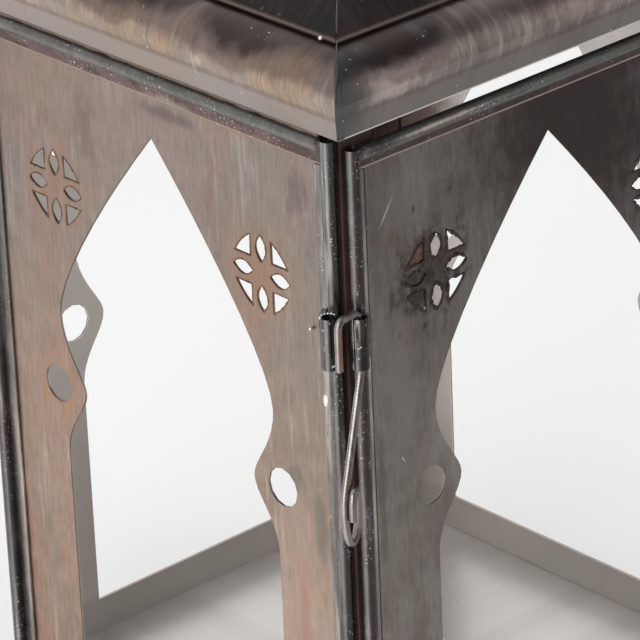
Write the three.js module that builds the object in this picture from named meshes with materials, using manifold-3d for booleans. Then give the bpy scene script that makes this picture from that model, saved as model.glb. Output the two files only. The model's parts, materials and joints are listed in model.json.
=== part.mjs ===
// Moroccan candle lantern: a square sheet-metal body with four pierced keyhole arches, a mitred bullnose
// cornice under a hipped roof, a hinged front wall that serves as the door, and a bent-wire hook latch.
// Millimetres, +Z up, origin under the middle of the base. The door is the wall that faces -Y, and the
// corner between it and the left wall (-X) carries the latch.
import * as THREE from "three";
import { mergeVertices } from "three/addons/utils/BufferGeometryUtils.js";
import Module from "manifold-3d";

const wasm = await Module();
wasm.setup();

// Driving dimensions

const seam = 0.25; // solder film between neighbouring pieces
const sheet = 0.8; // sheet metal of walls, mouldings and roof
const clear = 10; // how far a cutting shape reaches past what it cuts

const wall = {
  width: 160, // across the outer faces of two opposite walls
  height: 228.3, // from the floor plate to the lower edge of the cornice
  column: 32.7, // width of the strip of sheet beside an arch
  sill: 12, // height of the strip of sheet under an arch
};

// The arch is drawn by its distance from the wall's side edge and its depth below the cornice's lower edge.
const arch = {
  apexDepth: 23.6,
  apexPull: 36, // how far the straight run reaches down from the apex
  apexSlope: 48.5, // degrees from level
  waistDepth: 94.2,
  waistPull: 12.3,
  lobeDepth: 118,
  lobeReach: 9.5, // how far the lobe stands into the opening
  lobeUpperPull: 5,
  lobeLowerPull: 6,
  neckPull: 11,
  footDepth: 140, // where the lobe has run back into the column
  footPull: 10,
};

// Each quarter of a rosette is a pointed petal on an axis and a three-cornered hole beside it.
const rosette = {
  inset: 34.7,
  depth: 52.2,
  radius: 12,
  hub: 3.5, // from the middle to a petal's inner tip
  petalBow: 4.6, // how far the curve's handle stands off the petal's axis
  cornerInset: 4.3, // from an axis to the sides of the three-cornered hole
  outerBow: 0.9, // how far the outer side bows out
};
const lobeHole = { inset: 30, depth: 118, radius: 6.1 };

// A rolled edge is a tube with a narrow leaf that lies on the sheet's outer face.
const roll = { radius: 2.2, wall: 0.6, edgeGap: 1.05 };
const leaf = { wall: 3.9, door: 2.6 }; // how far each leaf reaches over the sheet

const rail = {
  fixedDepth: 4.2, // axis of a fixed wall's top roll below the cornice's lower edge
  doorDepth: 6.9, // axis of the door's top roll below the same edge
};

const post = { leg: 12, thick: 1 };
const frame = { bar: 14, thick: 1.2 };
const floorPlate = { thick: 1.2 };

// A bullnose moulding is given by half-widths across the lantern and heights from its lower lip.
const cornice = {
  overhang: 3.5,
  creaseOut: 3.2,
  creaseRise: 7.8,
  bulgeOut: 4.5,
  bulgeRise: 12.2,
  inset: 4.8,
  height: 23,
  flange: 7,
};
const plinth = {
  overhang: 14.5,
  creaseOut: 1.6,
  creaseRise: 8,
  bulgeOut: 2.6,
  bulgeRise: 12,
  inset: -5.5,
  height: 28,
  flange: 14,
};
const crease = { out: 0.2, rise: 0.7 }; // the small step from the flat band to the bulge
const plinthFoot = 6; // width of the hem on which the lantern stands

const roof = { slope: 42, eaveInset: 0.9, hem: 0.8, hemReturn: 0.96, topHalf: 8 };
const roofRosette = { down: 30, radius: 9 };

const finial = {
  flange: 12.5,
  flangeHeight: 2,
  shoulderOut: 1.6,
  shoulderRise: 1,
  neck: 3.6,
  neckHeight: 2.6,
  ball: 6.8,
  tip: 4.2,
  tipHeight: 2.4,
};
const eye = { ring: 4.4, wire: 1.5, stem: 1.8, stemHeight: 1.6 };
const carryRing = { radius: 22, wire: 1.8, clearance: 0.4 };

const door = { floorGap: 2.4 };
const hinge = { rod: 1.15, rodOver: 1, lug: 1.2, lugGap: 0.45, lugRim: 1.1 };

const knuckle = {
  radius: 2.5,
  wall: 0.6,
  length: 15.7,
  depth: 52.7,
  latchSeat: 49.8, // how far round from the wall's plane a knuckle sits on its roll, in degrees
  keeperSeat: 62,
  slit: 9,
  latchSlit: 187, // where each tube's slit faces, in degrees
  keeperSlit: 45,
};
const hook = {
  wire: 1.15,
  swungOut: 50, // how far the hook is turned out of the keeper, in degrees
  crown: 1.45, // rise of the bend over the knuckle's mouth
  bend: 3,
  shortLeg: 13.8,
  leanTwist: 20, // the long leg leans this far round from the short leg, in degrees
  eyeWidth: 6.2,
  eyeHeight: 17,
  eyeOut: 12.3, // eye's centre from the knuckle's axis
  eyeDrop: 40, // eye's centre below the knuckle
  eyeOverlap: 50, // how far the eye runs past a full turn, in degrees
  eyePitch: 2.45, // sideways step of the eye in one turn
};

const pan = { radius: 22, kneeRadius: 20.5, kneeRise: 2.5, baseRadius: 15, height: 5 };
const cup = { radius: 12, height: 17, lip: 1.6 };

// Derived places

const half = wall.width / 2;
const floorTop = plinth.height + floorPlate.thick;
const lip = floorTop + wall.height;
const corniceTop = lip + cornice.height;
const rollInset = roll.edgeGap + roll.radius; // roll's axis from the corner of the body
const rollOut = roll.radius - sheet; // roll's axis outside the wall's outer face
const sheetInset = rollInset + roll.radius + seam; // where the flat sheet starts
const doorBottom = floorTop + door.floorGap;
const doorTop = lip - rail.doorDepth + roll.radius;
const knuckleSpacing = roll.radius + knuckle.radius + seam; // between a roll's axis and its knuckle's
const hingeAxis = new THREE.Vector2(half - rollInset, -half - rollOut);
const knuckleTop = lip - knuckle.depth;

const degrees = THREE.MathUtils.degToRad;

// Along and out from the corner of the body to the axis of a knuckle that sits on a stile's roll.
const knuckleSeat = (angle) => [
  -half + rollInset - knuckleSpacing * Math.cos(degrees(angle)),
  -half - rollOut - knuckleSpacing * Math.sin(degrees(angle)),
];
const latchAxis = new THREE.Vector2(...knuckleSeat(knuckle.latchSeat));
const keeperAxis = new THREE.Vector2(...knuckleSeat(knuckle.keeperSeat).reverse());

// Solids

function toSolid(geometry) {
  const bare = geometry.clone();
  bare.deleteAttribute("normal");
  bare.deleteAttribute("uv");
  const merged = mergeVertices(bare, 1e-4);
  return new wasm.Manifold(
    new wasm.Mesh({
      numProp: 3,
      vertProperties: merged.attributes.position.array,
      triVerts: new Uint32Array(merged.index.array),
    }),
  );
}

function toGeometry(solid) {
  const mesh = solid.getMesh();
  const geometry = new THREE.BufferGeometry();
  geometry.setAttribute("position", new THREE.BufferAttribute(new Float32Array(mesh.vertProperties), 3));
  geometry.setIndex(new THREE.BufferAttribute(new Uint32Array(mesh.triVerts), 1));
  geometry.computeVertexNormals();
  return geometry;
}

const join = (...parts) => toGeometry(parts.map(toSolid).reduce((a, b) => a.add(b)));
const cut = (body, ...tools) => toGeometry(tools.map(toSolid).reduce((a, b) => a.subtract(b), toSolid(body)));
const keep = (body, tool) => toGeometry(toSolid(body).intersect(toSolid(tool)));

// A shape drawn in plan, raised from one height to another.
function raise(shape, from, to, curveSegments = 12) {
  const geometry = new THREE.ExtrudeGeometry(shape, { depth: to - from, bevelEnabled: false, curveSegments });
  return geometry.translate(0, 0, from);
}

// A shape drawn as an elevation of the front wall, with its outer face at the given distance from the middle.
function standUp(shape, outerFace, thickness, curveSegments = 12) {
  const geometry = new THREE.ExtrudeGeometry(shape, { depth: thickness, bevelEnabled: false, curveSegments });
  return geometry.rotateX(Math.PI / 2).translate(0, thickness - outerFace, 0);
}

// A profile of [radius, height] points, turned about the vertical axis.
function turn(profile, segments) {
  const points = profile.map(([r, z]) => new THREE.Vector2(r, z));
  return new THREE.LatheGeometry(points, segments).rotateX(Math.PI / 2);
}

// The same with four sides: the profile's first numbers are half-widths, so the corners are mitred.
function turnSquare(profile) {
  const points = profile.map(([h, z]) => [h * Math.SQRT2, z]);
  return turn(points, 4).rotateZ(Math.PI / 4);
}

// The quarter of the plan that belongs to the front wall, less the solder film at both mitres.
function frontQuarter(reach, from, to) {
  const shape = new THREE.Shape();
  shape.moveTo(0, -seam);
  shape.lineTo(-reach, -reach - seam);
  shape.lineTo(reach, -reach - seam);
  shape.closePath();
  return raise(shape, from, to);
}

function disc(radius, x = 0, y = 0) {
  const shape = new THREE.Shape();
  shape.absarc(x, y, radius, 0, Math.PI * 2);
  return shape;
}

// Points on an arc, first and last included.
function arc(cx, cy, radius, fromDeg, toDeg, steps) {
  return Array.from({ length: steps + 1 }, (_, i) => {
    const a = degrees(fromDeg + ((toDeg - fromDeg) * i) / steps);
    return [cx + radius * Math.cos(a), cy + radius * Math.sin(a)];
  });
}

// Finishes

const finish = (color, roughness, metalness = 0.9) =>
  new THREE.MeshStandardMaterial({ color, roughness, metalness });
const finishes = {
  wall: finish(0x8f7f76, 0.45),
  door: finish(0x625d59, 0.42),
  edge: finish(0x55514f, 0.38),
  moulding: finish(0x86796f, 0.42),
  roof: finish(0x2e2824, 0.5),
  frame: finish(0x3c2d2a, 0.6),
  floor: finish(0xa8a29c, 0.5),
  wire: finish(0x9a8f86, 0.35),
  latch: finish(0x5a5654, 0.38),
  candle: finish(0x6a625b, 0.5),
};

const lantern = new THREE.Group();

function add(name, geometry, material, parent = lantern) {
  const mesh = new THREE.Mesh(geometry, material);
  mesh.name = name;
  parent.add(mesh);
  return mesh;
}

// Walls: the front wall's elevation is drawn once, and turned groups carry it to the other sides

const sides = ["front", "right", "back", "left"];
const sideGroups = Object.fromEntries(
  sides.map((side, i) => {
    const group = new THREE.Group();
    group.rotation.z = (i * Math.PI) / 2;
    lantern.add(group);
    return [side, group];
  }),
);

// One half of the keyhole arch, as curves from the sill up to the apex. side is -1 or 1.
function traceArchUp(path, side) {
  const x = (inset) => side * (half - inset);
  const column = wall.column;
  const lobe = wall.column + arch.lobeReach;
  const slope = degrees(arch.apexSlope);
  path.bezierCurveTo(
    x(column), lip - arch.footDepth + arch.footPull,
    x(lobe), lip - arch.lobeDepth - arch.lobeLowerPull,
    x(lobe), lip - arch.lobeDepth,
  );
  path.bezierCurveTo(
    x(lobe), lip - arch.lobeDepth + arch.lobeUpperPull,
    x(column), lip - arch.waistDepth - arch.neckPull,
    x(column), lip - arch.waistDepth,
  );
  path.bezierCurveTo(
    x(column), lip - arch.waistDepth + arch.waistPull,
    side * arch.apexPull * Math.cos(slope), lip - arch.apexDepth - arch.apexPull * Math.sin(slope),
    0, lip - arch.apexDepth,
  );
}

// The same half from the apex down, by the curves' points in reverse.
function archHole() {
  const up = new THREE.Path();
  up.moveTo(half - wall.column, lip - arch.footDepth);
  traceArchUp(up, 1);
  const rising = up.getPoints(9);
  const sillTop = floorTop + wall.sill;
  const falling = rising.slice(0, -1).reverse().map((p) => new THREE.Vector2(-p.x, p.y));
  const corners = [new THREE.Vector2(wall.column - half, sillTop), new THREE.Vector2(half - wall.column, sillTop)];
  return new THREE.Path([...rising, ...falling, ...corners]);
}

// Eight holes of a rosette: four petals on the axes and four three-sided holes between them.
function rosetteHoles(cx, cy, radius) {
  const scale = radius / rosette.radius;
  const hub = rosette.hub * scale;
  const bow = rosette.petalBow * scale;
  const middle = (hub + radius) / 2;
  const corner = rosette.cornerInset * scale;
  const reach = Math.sqrt(radius ** 2 - corner ** 2);
  const outer = (reach + corner) / 2 + rosette.outerBow * scale;
  const holes = [];
  for (let quarter = 0; quarter < 4; quarter++) {
    const cosine = Math.cos((quarter * Math.PI) / 2);
    const sine = Math.sin((quarter * Math.PI) / 2);
    const at = (x, y) => [cx + x * cosine - y * sine, cy + x * sine + y * cosine];
    const petal = new THREE.Path();
    petal.moveTo(...at(hub, 0));
    petal.quadraticCurveTo(...at(middle, bow), ...at(radius, 0));
    petal.quadraticCurveTo(...at(middle, -bow), ...at(hub, 0));
    const gusset = new THREE.Path();
    gusset.moveTo(...at(corner, corner));
    gusset.lineTo(...at(reach, corner));
    gusset.quadraticCurveTo(...at(outer, outer), ...at(corner, reach));
    gusset.closePath();
    holes.push(petal, gusset);
  }
  return holes;
}

// The flat pierced sheet between the rolled edges.
function wallSheet(bottom, top) {
  const shape = new THREE.Shape();
  const edge = half - sheetInset;
  shape.moveTo(-edge, bottom);
  shape.lineTo(edge, bottom);
  shape.lineTo(edge, top);
  shape.lineTo(-edge, top);
  shape.closePath();
  shape.holes.push(archHole());
  for (const side of [-1, 1]) {
    shape.holes.push(...rosetteHoles(side * (half - rosette.inset), lip - rosette.depth, rosette.radius));
    shape.holes.push(disc(lobeHole.radius, side * (half - lobeHole.inset), lip - lobeHole.depth));
  }
  return standUp(shape, half, sheet, 6);
}

// Rolled edge along +Z: the roll's axis is the origin, the leaf reaches towards +X and lies at -Y of the sheet.
function rolledEdge(from, to, reach, leafFrom, leafTo) {
  const tube = disc(roll.radius);
  tube.holes.push(disc(roll.radius - roll.wall));
  const strip = new THREE.Shape();
  const top = rollOut - seam; // the leaf's underside is one film above the sheet
  const inner = Math.sqrt((roll.radius - roll.wall / 2) ** 2 - top ** 2);
  const outer = roll.radius + seam + reach;
  strip.moveTo(inner, top);
  strip.lineTo(inner, top - roll.wall);
  strip.lineTo(outer, top - roll.wall);
  strip.lineTo(outer, top);
  strip.closePath();
  return join(raise(tube, from, to, 8), raise(strip, leafFrom, leafTo));
}

function stile(side, bottom, top, reach, leafBottom, leafTop) {
  const edge = rolledEdge(bottom, top, reach, leafBottom, leafTop);
  if (side > 0) edge.copy(keepFacing(edge));
  return edge.translate(side * (half - rollInset), -half - rollOut, 0);
}

// Mirrors a geometry left to right and turns its faces so that they still point out.
function keepFacing(geometry) {
  const mirrored = geometry.clone().scale(-1, 1, 1);
  const index = mirrored.index.array;
  for (let i = 0; i < index.length; i += 3) [index[i + 1], index[i + 2]] = [index[i + 2], index[i + 1]];
  return mirrored;
}

// A level rolled edge between two stiles, whose leaf hangs down (hang = 1) or stands up (hang = -1).
function levelEdge(height, hang, leafWidth) {
  const reach = half - sheetInset;
  const edge = rolledEdge(-reach, reach, leafWidth, -reach, reach);
  edge.rotateY((hang * Math.PI) / 2);
  return edge.translate(0, -half - rollOut, height);
}

function buildFixedWall(side) {
  const group = sideGroups[side];
  const railHeight = lip - rail.fixedDepth;
  const sheetTop = railHeight - roll.radius - seam;
  const bottom = floorTop + seam;
  add(`${side}_panel`, wallSheet(bottom, sheetTop), finishes.wall, group);
  const names = { right: ["front", "back"], back: ["right", "left"], left: ["back", "front"] }[side];
  names.forEach((end, i) => {
    const at = i === 0 ? -1 : 1;
    const leafTop = sheetTop - leaf.wall - seam;
    const edge = stile(at, bottom, railHeight + roll.radius, leaf.wall, bottom, leafTop);
    add(`${side}_panel_${end}_stile`, edge, finishes.edge, group);
  });
  add(`${side}_panel_top_rail`, levelEdge(railHeight, 1, leaf.wall), finishes.wall, group);
}

["right", "back", "left"].forEach(buildFixedWall);

// Corner posts behind the walls

function buildPosts() {
  const outer = half - sheet - seam;
  const shape = new THREE.Shape();
  shape.moveTo(-outer, -outer);
  shape.lineTo(-outer + post.leg, -outer);
  shape.lineTo(-outer + post.leg, -outer + post.thick);
  shape.lineTo(-outer + post.thick, -outer + post.thick);
  shape.lineTo(-outer + post.thick, -outer + post.leg);
  shape.lineTo(-outer, -outer + post.leg);
  shape.closePath();
  const top = lip + cornice.creaseRise - seam;
  ["front_left", "front_right", "back_right", "back_left"].forEach((name, i) => {
    const angle = raise(shape, floorTop + seam, top).rotateZ((i * Math.PI) / 2);
    add(`corner_post_${name}`, angle, finishes.frame);
  });
}

buildPosts();

// Cornice and plinth: one bullnose section at two sizes, each in four mitred lengths

function bullnose(size, foot) {
  const lipHalf = half + size.overhang;
  const creaseHalf = lipHalf + size.creaseOut;
  const bulgeHalf = lipHalf + size.bulgeOut;
  const rimHalf = half - size.inset;
  const outside = [
    [lipHalf, 0],
    [creaseHalf, size.creaseRise],
    [creaseHalf + crease.out, size.creaseRise + crease.rise],
  ];
  const steps = 8;
  for (let i = 0; i <= steps; i++) {
    const a = (Math.PI / 2) * (i / steps);
    outside.push([
      rimHalf + (bulgeHalf - rimHalf) * Math.cos(a),
      size.bulgeRise + (size.height - size.bulgeRise) * Math.sin(a),
    ]);
  }
  const inside = outside.slice(1).reverse().map(([h, z]) => {
    const up = Math.max(0, Math.min(1, (z - size.bulgeRise) / (size.height - size.bulgeRise)));
    return [h - sheet * Math.sqrt(1 - up * up), z - sheet * up];
  });
  const flange = [[rimHalf - size.flange, size.height], [rimHalf - size.flange, size.height - sheet]];
  const hem = foot ? [[lipHalf - foot, sheet], [lipHalf - foot, 0]] : [[lipHalf - sheet, 0]];
  const innerLip = foot ? [[lipHalf - sheet, sheet]] : [];
  return [...outside, ...flange, ...inside, ...innerLip, ...hem, outside[0]];
}

function buildMoulding(name, size, bottom, foot) {
  const ring = turnSquare(bullnose(size, foot)).translate(0, 0, bottom);
  const reach = half + size.overhang + size.bulgeOut + clear;
  const length = keep(ring, frontQuarter(reach, bottom - clear, bottom + size.height + clear));
  sides.forEach((side, i) => {
    add(`${name}_${side}`, length.clone().rotateZ((i * Math.PI) / 2), finishes.moulding);
  });
}

buildMoulding("cornice", cornice, lip, 0);
buildMoulding("plinth", plinth, 0, plinthFoot);

// Floor plate on the plinth and square frame inside the cornice

function square(halfWidth) {
  const corners = [[-1, -1], [1, -1], [1, 1], [-1, 1]];
  return new THREE.Shape(corners.map(([x, y]) => new THREE.Vector2(x * halfWidth, y * halfWidth)));
}

function buildFloorAndFrame() {
  const plate = square(half - plinth.inset);
  add("floor_plate", raise(plate, plinth.height + seam, floorTop), finishes.floor);
  const outline = square(half + cornice.overhang + cornice.creaseOut - sheet - 2 * seam);
  outline.holes.push(square(half - frame.bar));
  const bottom = lip + cornice.creaseRise;
  add("top_frame", raise(outline, bottom, bottom + frame.thick), finishes.frame);
}

buildFloorAndFrame();

// Hipped roof of four soldered sheets, each with a hemmed eave and a pierced rosette to let the heat out

function buildRoof() {
  const rise = Math.tan(degrees(roof.slope));
  const eave = half - cornice.inset - roof.eaveInset;
  const base = corniceTop + seam + roof.hem;
  const top = base + (eave - roof.topHalf) * rise;
  const drop = sheet / Math.cos(degrees(roof.slope));
  const hem = arc(eave, base, roof.hem, -120, 90, 5);
  const profile = [
    ...hem,
    [roof.topHalf, top],
    [roof.topHalf, top - drop],
    [eave - roof.hemReturn, base + roof.hemReturn * rise - drop],
    hem[0],
  ];
  const ring = turnSquare(profile);
  const quarter = keep(ring, frontQuarter(half, base - clear, top + clear));
  const holes = rosetteHoles(0, 0, roofRosette.radius).map((path) => new THREE.Shape(path.getPoints(6)));
  const punch = holes.map((shape) => {
    const tool = raise(shape, -clear / 2, clear / 2).rotateX(degrees(roof.slope));
    const out = roof.topHalf + roofRosette.down * Math.cos(degrees(roof.slope));
    return tool.translate(0, -out, top - roofRosette.down * Math.sin(degrees(roof.slope)));
  });
  const pierced = cut(quarter, ...punch);
  sides.forEach((side, i) => {
    add(`roof_${side}`, pierced.clone().rotateZ((i * Math.PI) / 2), finishes.roof);
  });
  return top;
}

const roofTop = buildRoof();

// Finial, its eye and the loose carrying ring

function buildFinial() {
  const seat = roofTop + seam;
  const neckTop = seat + finial.flangeHeight + finial.neckHeight;
  const ballMiddle = neckTop + Math.sqrt(finial.ball ** 2 - finial.neck ** 2);
  const lower = (Math.asin(finial.neck / finial.ball) * 180) / Math.PI - 90;
  const ball = arc(0, ballMiddle, finial.ball, lower, -lower, 8);
  const ballTop = ball[ball.length - 1][1];
  const tipTop = ballTop + finial.tipHeight;
  const profile = [
    [0, seat],
    [finial.flange, seat],
    [finial.flange, seat + finial.flangeHeight / 2],
    [finial.neck + finial.shoulderOut, seat + finial.flangeHeight],
    [finial.neck, seat + finial.flangeHeight + finial.shoulderRise],
    ...ball,
    [finial.tip, ballTop + finial.tipHeight / 2],
    [finial.tip, tipTop],
    [0, tipTop],
  ];
  add("finial", turn(profile, 20), finishes.roof);
  const eyeMiddle = tipTop + seam + eye.stemHeight + eye.ring;
  const loop = new THREE.TorusGeometry(eye.ring, eye.wire, 8, 16).rotateY(Math.PI / 2).translate(0, 0, eyeMiddle);
  const stem = raise(disc(eye.stem), tipTop + seam, eyeMiddle - eye.ring, 6);
  add("finial_eye", join(loop, stem), finishes.roof);
  return eyeMiddle;
}

const eyeMiddle = buildFinial();

// The ring hangs from the eye and leans on the front slope of the roof.
function buildCarryRing() {
  const slope = degrees(roof.slope);
  const rise = eyeMiddle - roofTop;
  const away = carryRing.wire + carryRing.clearance;
  const reach = 2 * carryRing.radius;
  const cosine = (rise * Math.cos(slope) - roof.topHalf * Math.sin(slope) - away) / reach;
  const swing = Math.acos(cosine) - slope;
  const ring = new THREE.TorusGeometry(carryRing.radius, carryRing.wire, 8, 28);
  ring.rotateX(Math.PI / 2).translate(0, 0, -carryRing.radius);
  ring.rotateX(-swing).translate(0, 0, eyeMiddle);
  add("carry_ring", ring, finishes.wire);
}

buildCarryRing();

// Door: the same pierced sheet in a frame of rolled edges, on a rod that runs through its hinge stile

function buildDoor() {
  const topRail = doorTop - roll.radius;
  const bottomRail = doorBottom + roll.radius;
  const sheetBottom = bottomRail + roll.radius + seam;
  const sheetTop = topRail - roll.radius - seam;
  const leafBottom = sheetBottom + leaf.door + seam;
  const leafTop = sheetTop - leaf.door - seam;
  add("door_panel", wallSheet(sheetBottom, sheetTop), finishes.door);
  add("door_latch_stile", stile(-1, doorBottom, doorTop, leaf.door, leafBottom, leafTop), finishes.edge);
  add("door_hinge_stile", stile(1, doorBottom, doorTop, leaf.door, leafBottom, leafTop), finishes.edge);
  add("door_top_rail", levelEdge(topRail, 1, leaf.door), finishes.edge);
  add("door_bottom_rail", levelEdge(bottomRail, -1, leaf.door), finishes.edge);
}

buildDoor();

// Hinge rod and the two lugs that hold it, soldered to the corner post

function buildHinge() {
  const bore = hinge.rod + seam;
  const rim = bore + hinge.lugRim;
  const faceOfPost = -half + sheet; // one film in front of the post
  const lug = new THREE.Shape();
  lug.moveTo(hingeAxis.x + rim, faceOfPost);
  lug.lineTo(hingeAxis.x - rim, faceOfPost);
  lug.absarc(hingeAxis.x, hingeAxis.y, rim, Math.PI, Math.PI * 2, false);
  lug.holes.push(disc(bore, hingeAxis.x, hingeAxis.y));
  const upper = doorTop + hinge.lugGap;
  const lower = doorBottom - hinge.lugGap - hinge.lug;
  add("hinge_lug_upper", raise(lug, upper, upper + hinge.lug, 6), finishes.frame);
  add("hinge_lug_lower", raise(lug, lower, lower + hinge.lug, 6), finishes.frame);
  const rodTop = upper + hinge.lug + hinge.rodOver;
  const rod = raise(disc(hinge.rod, hingeAxis.x, hingeAxis.y), floorTop + seam, rodTop, 6);
  add("hinge_rod", rod, finishes.wire);
}

buildHinge();

// Latch: two rolled knuckles at the corner and the wire hook that hangs in the door's one

function knuckleTube(axis, facing) {
  const shape = new THREE.Shape();
  const from = degrees(facing + knuckle.slit / 2);
  const to = degrees(facing - knuckle.slit / 2) + Math.PI * 2;
  shape.absarc(axis.x, axis.y, knuckle.radius, from, to, false);
  shape.absarc(axis.x, axis.y, knuckle.radius - knuckle.wall, to, from, true);
  shape.closePath();
  return raise(shape, knuckleTop - knuckle.length, knuckleTop, 10);
}

const bearing = (angle) => new THREE.Vector3(Math.cos(degrees(angle)), Math.sin(degrees(angle)), 0);

// The hook's centre line: up the short leg, over the crown, down through the knuckle and round the eye.
class HookLine extends THREE.CurvePath {
  constructor() {
    super();
    this.axis = new THREE.Vector3(latchAxis.x, latchAxis.y, 0);
    const latched = THREE.MathUtils.radToDeg(keeperAxis.clone().sub(latchAxis).angle());
    const shortLegBearing = latched + hook.swungOut;
    const crownTop = knuckleTop + hook.crown;
    const legOut = latchAxis.distanceTo(keeperAxis);
    const at = (out, height) => this.point(shortLegBearing, out, height);
    this.straight(at(legOut, knuckleTop - hook.shortLeg), at(legOut, crownTop - hook.bend));
    this.bend(at(legOut, crownTop - hook.bend), at(legOut, crownTop), at(legOut - hook.bend, crownTop));
    this.straight(at(legOut - hook.bend, crownTop), at(hook.bend, crownTop));
    this.bend(at(hook.bend, crownTop), at(0, crownTop), at(0, crownTop - hook.bend));
    this.longLeg(shortLegBearing + hook.leanTwist, crownTop - hook.bend);
  }

  point(direction, out, height) {
    return this.axis.clone().addScaledVector(bearing(direction), out).setZ(height);
  }

  // The leg runs into the eye as a tangent. Both are worked out on a round eye that is then narrowed.
  longLeg(direction, top) {
    const kneeTop = knuckleTop - knuckle.length - hook.wire;
    const eyeMiddle = knuckleTop - knuckle.length - hook.eyeDrop;
    const radius = hook.eyeHeight / 2;
    const narrow = hook.eyeWidth / hook.eyeHeight;
    const roundOut = hook.eyeOut / narrow;
    const drop = kneeTop - eyeMiddle;
    const tilt = Math.atan2(roundOut, drop) + Math.asin(radius / Math.hypot(roundOut, drop));
    const reach = 2 * hook.wire;
    const knee = this.point(direction, 0, kneeTop);
    const kneeEnd = this.point(direction, reach * Math.sin(tilt) * narrow, kneeTop - reach * Math.cos(tilt));
    const onEye = (angle, turns) =>
      this.point(direction, (roundOut + radius * Math.cos(angle)) * narrow, eyeMiddle + radius * Math.sin(angle))
        .addScaledVector(bearing(direction + 90), hook.eyePitch * turns);
    this.straight(this.point(direction, 0, top), this.point(direction, 0, kneeTop + reach));
    this.bend(this.point(direction, 0, kneeTop + reach), knee, kneeEnd);
    this.straight(kneeEnd, onEye(tilt, 0));
    const turns = 1 + hook.eyeOverlap / 360;
    const steps = 16;
    const round = Array.from({ length: steps + 1 }, (_, i) => {
      const turned = (turns * i) / steps;
      return onEye(tilt - 2 * Math.PI * turned, turned);
    });
    this.add(new THREE.CatmullRomCurve3(round));
  }

  straight(a, b) {
    this.add(new THREE.LineCurve3(a, b));
  }

  bend(a, corner, b) {
    this.add(new THREE.QuadraticBezierCurve3(a, corner, b));
  }
}

function buildLatch() {
  add("latch_keeper", knuckleTube(keeperAxis, knuckle.keeperSlit), finishes.latch);
  add("latch_knuckle", knuckleTube(latchAxis, knuckle.latchSlit), finishes.latch);
  const section = disc(hook.wire);
  const wire = new THREE.ExtrudeGeometry(section, {
    steps: 104,
    bevelEnabled: false,
    curveSegments: 4,
    extrudePath: new HookLine(),
  });
  add("latch_hook", wire, finishes.wire);
}

buildLatch();

// Candle socket: a cup in a drip pan, both soldered to the middle of the floor plate

function buildCandleSocket() {
  const panBottom = floorTop + seam;
  const panTop = panBottom + pan.height;
  const panProfile = [
    [0, panBottom],
    [pan.baseRadius, panBottom],
    [pan.kneeRadius, panBottom + pan.kneeRise],
    [pan.radius, panTop],
    [pan.radius - sheet, panTop],
    [pan.kneeRadius - sheet, panBottom + pan.kneeRise + sheet / 2],
    [pan.baseRadius - sheet / 2, panBottom + sheet],
    [0, panBottom + sheet],
  ];
  add("drip_pan", turn(panProfile, 24), finishes.candle);
  const cupBottom = panBottom + sheet + seam;
  const cupTop = cupBottom + cup.height;
  const cupProfile = [
    [0, cupBottom],
    [cup.radius, cupBottom],
    [cup.radius, cupTop - cup.lip],
    [cup.radius + cup.lip, cupTop],
    [cup.radius + cup.lip - sheet, cupTop],
    [cup.radius - sheet, cupTop - cup.lip],
    [cup.radius - sheet, cupBottom + sheet],
    [0, cupBottom + sheet],
  ];
  add("candle_cup", turn(cupProfile, 24), finishes.candle);
}

buildCandleSocket();

export default lantern;
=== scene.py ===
"""Finishes and softened edges for a pierced sheet-metal candle lantern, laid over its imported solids."""

import json
import math

import bmesh
import bpy
from bpy.props import FloatProperty, FloatVectorProperty, IntProperty, PointerProperty
from mathutils import Matrix, Vector, noise
from mathutils.bvhtree import BVHTree


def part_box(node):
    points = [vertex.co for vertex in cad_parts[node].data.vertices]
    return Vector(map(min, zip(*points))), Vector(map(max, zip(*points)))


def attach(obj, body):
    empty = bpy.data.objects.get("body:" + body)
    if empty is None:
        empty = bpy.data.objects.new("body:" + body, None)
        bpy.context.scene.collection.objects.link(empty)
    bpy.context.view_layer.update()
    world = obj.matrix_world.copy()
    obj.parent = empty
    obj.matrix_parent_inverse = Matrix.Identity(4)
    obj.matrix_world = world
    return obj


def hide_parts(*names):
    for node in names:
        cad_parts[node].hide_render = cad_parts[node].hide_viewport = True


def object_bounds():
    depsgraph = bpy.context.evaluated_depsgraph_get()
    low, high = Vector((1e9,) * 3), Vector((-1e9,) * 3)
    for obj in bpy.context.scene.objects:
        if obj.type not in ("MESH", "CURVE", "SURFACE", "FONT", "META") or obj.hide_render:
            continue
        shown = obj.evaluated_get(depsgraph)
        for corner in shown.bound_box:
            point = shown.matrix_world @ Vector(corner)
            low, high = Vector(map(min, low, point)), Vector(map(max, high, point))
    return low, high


bl_info = {
    "name": "Candle Lantern Finish",
    "version": (1, 0, 0),
    "blender": (4, 5, 0),
    "location": "3D Viewport > Sidebar > Lantern",
    "description": "Softens the edges of a sheet-metal candle lantern and gives it aged metal finishes",
    "category": "Object",
}

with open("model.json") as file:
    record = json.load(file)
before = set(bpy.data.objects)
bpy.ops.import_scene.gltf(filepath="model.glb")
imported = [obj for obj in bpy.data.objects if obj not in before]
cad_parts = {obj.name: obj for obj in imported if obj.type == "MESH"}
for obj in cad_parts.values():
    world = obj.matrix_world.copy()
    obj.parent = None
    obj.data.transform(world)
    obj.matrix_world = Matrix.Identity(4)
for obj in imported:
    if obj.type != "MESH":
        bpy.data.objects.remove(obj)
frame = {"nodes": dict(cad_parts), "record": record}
MM = 0.001
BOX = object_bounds()  # lowest and highest corner of the solids
SIDES = ("front", "right", "back", "left")
WALLS = ("right_panel", "back_panel", "left_panel")
WALL_ENDS = (("front", "back"), ("right", "left"), ("back", "front"))
STILES = tuple(f"{wall}_{end}_stile" for wall, ends in zip(WALLS, WALL_ENDS) for end in ends)
POSTS = tuple(f"corner_post_{place}" for place in ("front_left", "front_right", "back_right", "back_left"))
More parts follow.
